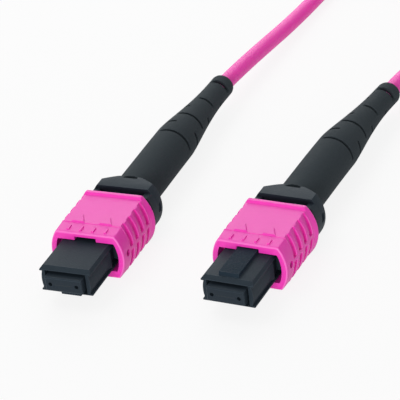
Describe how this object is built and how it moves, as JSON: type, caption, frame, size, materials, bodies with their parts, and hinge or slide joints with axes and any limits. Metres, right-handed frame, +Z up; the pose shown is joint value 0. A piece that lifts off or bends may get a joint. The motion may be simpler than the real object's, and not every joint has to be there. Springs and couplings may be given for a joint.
{
  "type": "mpo patch cable",
  "caption": "Fibre patch cable with a push-pull multi-fibre plug on each end: sprung ferrule, sliding grip sleeve, slitted strain-relief boot and a round jacket, spare length coiled and tied.",
  "frame": {"origin": "on the floor under the middle of the two connectors' box", "axes": "+Y from the connectors' faces back along the cable, +Z up, +X from end A to end B"},
  "size_m": [0.055, 0.1721, 0.009],
  "materials": {
    "housing": "fine moulded",
    "ferrule": "filled resin",
    "sleeve": "satin moulded",
    "rubber": "matt",
    "soft_boot": "matt",
    "keeper": "moulded",
    "spring": "drawn wire",
    "crimp": "plated",
    "fibre": "coated fibres",
    "jacket": "satin jacket",
    "strap": "woven strap"
  },
  "bodies": {
    "cable": {"plug_frame_a": "housing", "ferrule_spring_a": "spring", "rear_body_a": "housing", "sleeve_spring_left_a": "spring", "sleeve_spring_right_a": "spring", "crimp_ring_a": "crimp", "strain_relief_boot_a": "rubber", "fibre_ribbon_a": "fibre", "cable_tail_a": "jacket", "cable_lead_a": "jacket", "plug_frame_b": "housing", "ferrule_spring_b": "spring", "rear_body_b": "housing", "sleeve_spring_left_b": "spring", "sleeve_spring_right_b": "spring", "crimp_ring_b": "crimp", "strain_relief_boot_b": "rubber", "fibre_ribbon_b": "fibre", "cable_tail_b": "jacket", "cable_lead_b": "jacket", "cable_coil": "jacket", "coil_tie": "strap"},
    "sleeve_a": {"coupling_sleeve_a": "sleeve"},
    "sleeve_b": {"coupling_sleeve_b": "sleeve"},
    "ferrule_a": {"ferrule_a": "ferrule", "ferrule_boot_a": "soft_boot", "pin_keeper_a": "keeper"},
    "ferrule_b": {"ferrule_b": "ferrule", "ferrule_boot_b": "soft_boot", "pin_keeper_b": "keeper"}
  },
  "joints": [
    {"name": "sleeve_slide_a", "type": "slide", "parent": "cable", "child": "sleeve_a", "axis": [-0.0298, 0.9996, 0], "range_m": [0, 0.0024], "stiffness_N_per_m": 500, "springref_m": -0.003, "deforming": ["sleeve_spring_left_a", "sleeve_spring_right_a"]},
    {"name": "ferrule_push_a", "type": "slide", "parent": "cable", "child": "ferrule_a", "axis": [-0.0298, 0.9996, 0], "range_m": [0, 0.0008], "stiffness_N_per_m": 2500, "springref_m": -0.0035, "deforming": ["ferrule_spring_a", "fibre_ribbon_a"]},
    {"name": "sleeve_slide_b", "type": "slide", "parent": "cable", "child": "sleeve_b", "axis": [0.0298, 0.9996, 0], "range_m": [0, 0.0024], "stiffness_N_per_m": 500, "springref_m": -0.003, "deforming": ["sleeve_spring_left_b", "sleeve_spring_right_b"]},
    {"name": "ferrule_push_b", "type": "slide", "parent": "cable", "child": "ferrule_b", "axis": [0.0298, 0.9996, 0], "range_m": [0, 0.0008], "stiffness_N_per_m": 2500, "springref_m": -0.0035, "deforming": ["ferrule_spring_b", "fibre_ribbon_b"]}
  ]
}
